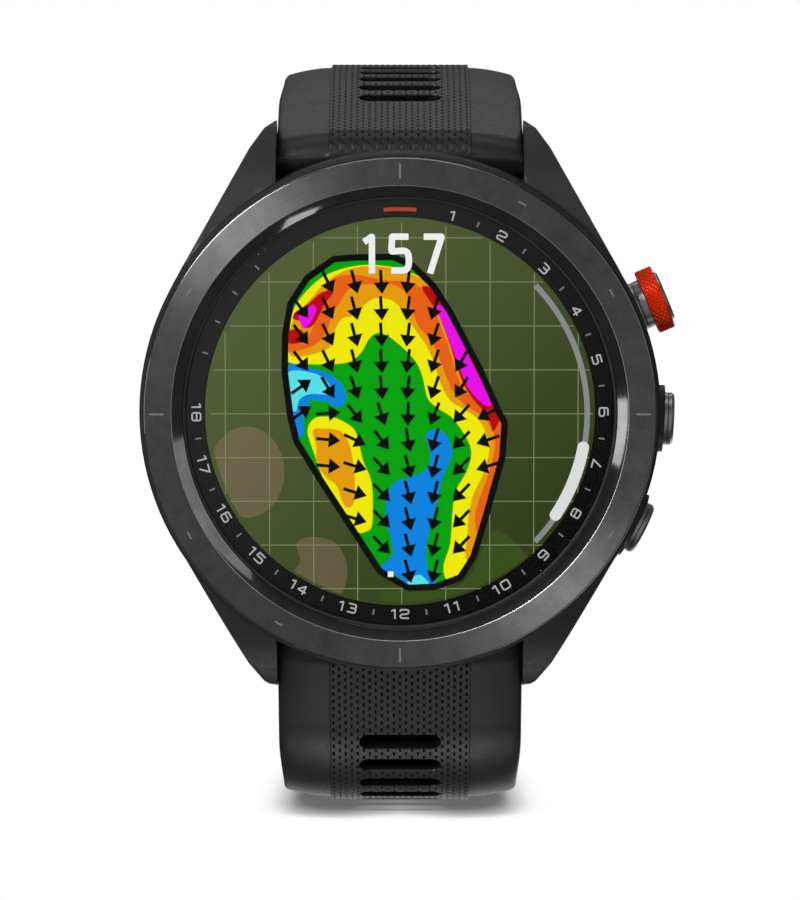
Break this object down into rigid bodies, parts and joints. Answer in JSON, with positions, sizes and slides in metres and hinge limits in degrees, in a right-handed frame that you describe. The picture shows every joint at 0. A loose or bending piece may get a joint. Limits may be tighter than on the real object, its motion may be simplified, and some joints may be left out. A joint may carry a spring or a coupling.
{
  "type": "golf gps watch",
  "caption": "Round golf GPS watch with a dark brushed bezel, lit course map dial, side push buttons and an unbuckled black silicone strap with quick-release ends.",
  "frame": {"origin": "centre of the flat sensor window on the case back, where it rests on the wrist", "axes": "+Y from the case back towards the wrist, dial facing -Y; +Z towards 12 o'clock; +X towards the buttons at 3 o'clock"},
  "size_m": [0.0485, 0.0826, 0.0692],
  "materials": {
    "bezel_metal": "circular brushed dark grey with bright chamfer",
    "glass": "polished",
    "seal_rubber": "matte",
    "black_print": "gloss black with white numbers",
    "display": "lit golf map",
    "inner_plastic": "moulded",
    "circuit": "solder mask",
    "case_polymer": "satin fibre-reinforced",
    "steel": "satin",
    "chip": "moulded",
    "foil": "foil pouch",
    "brass_disc": "satin",
    "back_plastic": "smooth moulded",
    "lens": "polished dark window",
    "gold": "plated",
    "button_metal": "polished dark coating",
    "red_ring": "cross-hatched red",
    "silicone": "satin silicone",
    "dark_steel": "dark coated",
    "tungsten": "sintered"
  },
  "bodies": {
    "case": {"bezel_ring": "bezel_metal", "front_glass": "glass", "glass_gasket": "seal_rubber", "number_ring": "black_print", "display_panel": "display", "display_frame": "inner_plastic", "display_cable": "circuit", "case_shell": "case_polymer", "pressure_vent": "inner_plastic", "lug_bar_top": "steel", "lug_bar_bottom": "steel", "antenna_ring": "inner_plastic", "main_board": "circuit", "board_chips": "chip", "shield_can": "steel", "battery_tray": "inner_plastic", "battery_cell": "foil", "vibration_motor": "steel", "beeper_disc": "brass_disc", "switch_modules": "steel", "button_seals": "seal_rubber", "back_cover": "back_plastic", "back_seal": "seal_rubber", "back_cover_screws": "steel", "sensor_lens": "lens", "sensor_board": "circuit", "sensor_leds": "chip", "charge_port_block": "inner_plastic", "charge_pins": "gold", "start_button_spring": "steel", "middle_button_spring": "steel", "lower_button_spring": "steel"},
    "vibration_rotor": {"vibration_weight": "tungsten"},
    "start_button": {"start_button": "button_metal", "start_button_ring": "red_ring", "start_button_clip": "steel"},
    "middle_button": {"middle_button": "button_metal", "middle_button_clip": "steel"},
    "lower_button": {"lower_button": "button_metal", "lower_button_clip": "steel"},
    "top_strap_root": {"strap_top_root": "silicone", "top_hook_plate": "steel", "top_latch_springs": "steel"},
    "top_latch": {"top_latch_slider": "dark_steel"},
    "top_strap_end": {"strap_top_end": "silicone", "buckle_pin": "dark_steel", "fixed_keeper": "silicone"},
    "keeper": {"free_keeper": "silicone"},
    "buckle": {"buckle_frame": "dark_steel"},
    "tongue": {"buckle_tongue": "dark_steel"},
    "bottom_strap_root": {"strap_bottom_root": "silicone", "bottom_hook_plate": "steel", "bottom_latch_springs": "steel"},
    "bottom_latch": {"bottom_latch_slider": "dark_steel"},
    "strap_tail": {"strap_tail": "silicone"}
  },
  "joints": [
    {"name": "start_button_press", "type": "slide", "parent": "case", "child": "start_button", "axis": [-0.9212, 0, -0.3891], "range_m": [0, 0.0005], "stiffness_N_per_m": 1500, "springref_m": -0.0008, "deforming": ["start_button_spring"]},
    {"name": "middle_button_press", "type": "slide", "parent": "case", "child": "middle_button", "axis": [-0.999, 0, 0.0454], "range_m": [0, 0.0006], "stiffness_N_per_m": 1500, "springref_m": -0.0008, "deforming": ["middle_button_spring"]},
    {"name": "lower_button_press", "type": "slide", "parent": "case", "child": "lower_button", "axis": [-0.891, 0, 0.454], "range_m": [0, 0.0006], "stiffness_N_per_m": 1500, "springref_m": -0.0008, "deforming": ["lower_button_spring"]},
    {"name": "top_lug_hinge", "type": "hinge", "parent": "case", "child": "top_strap_root", "pos_m": [0, -0.0046, 0.0229], "axis": [1, 0, 0], "range_deg": [-6, 45]},
    {"name": "top_strap_flex", "type": "hinge", "parent": "top_strap_root", "child": "top_strap_end", "pos_m": [0, 0.01601, 0.02843], "axis": [1, 0, 0], "range_deg": [-10, 45], "stiffness_Nm_per_rad": 0.03},
    {"name": "top_latch_slide", "type": "slide", "parent": "top_strap_root", "child": "top_latch", "axis": [0, 0.9272, 0.3746], "range_m": [0, 0.0018], "stiffness_N_per_m": 600, "springref_m": -0.001, "deforming": ["top_latch_springs"]},
    {"name": "bottom_lug_hinge", "type": "hinge", "parent": "case", "child": "bottom_strap_root", "pos_m": [0, -0.0046, -0.0229], "axis": [-1, 0, 0], "range_deg": [-6, 18]},
    {"name": "bottom_strap_flex", "type": "hinge", "parent": "bottom_strap_root", "child": "strap_tail", "pos_m": [0, 0.01478, -0.03745], "axis": [-1, 0, 0], "range_deg": [-6, 50], "stiffness_Nm_per_rad": 0.03},
    {"name": "bottom_latch_slide", "type": "slide", "parent": "bottom_strap_root", "child": "bottom_latch", "axis": [0, 0.3746, -0.9272], "range_m": [0, 0.0018], "stiffness_N_per_m": 600, "springref_m": -0.001, "deforming": ["bottom_latch_springs"]},
    {"name": "free_keeper_slide", "type": "hinge", "parent": "top_strap_end", "child": "keeper", "pos_m": [0, 0.01649, 0.00049], "axis": [1, 0, 0], "range_deg": [-6, 6]},
    {"name": "buckle_hinge", "type": "hinge", "parent": "top_strap_end", "child": "buckle", "pos_m": [0, 0.04422, 0.00416], "axis": [1, 0, 0], "range_deg": [-30, 40]},
    {"name": "tongue_hinge", "type": "hinge", "parent": "buckle", "child": "tongue", "pos_m": [0, 0.04422, 0.00416], "axis": [1, 0, 0], "range_deg": [0, 80]},
    {"name": "vibration_spin", "type": "hinge", "parent": "case", "child": "vibration_rotor", "pos_m": [-0.0149, -0.0065, 0], "axis": [0, 0, 1], "continuous": true}
  ]
}
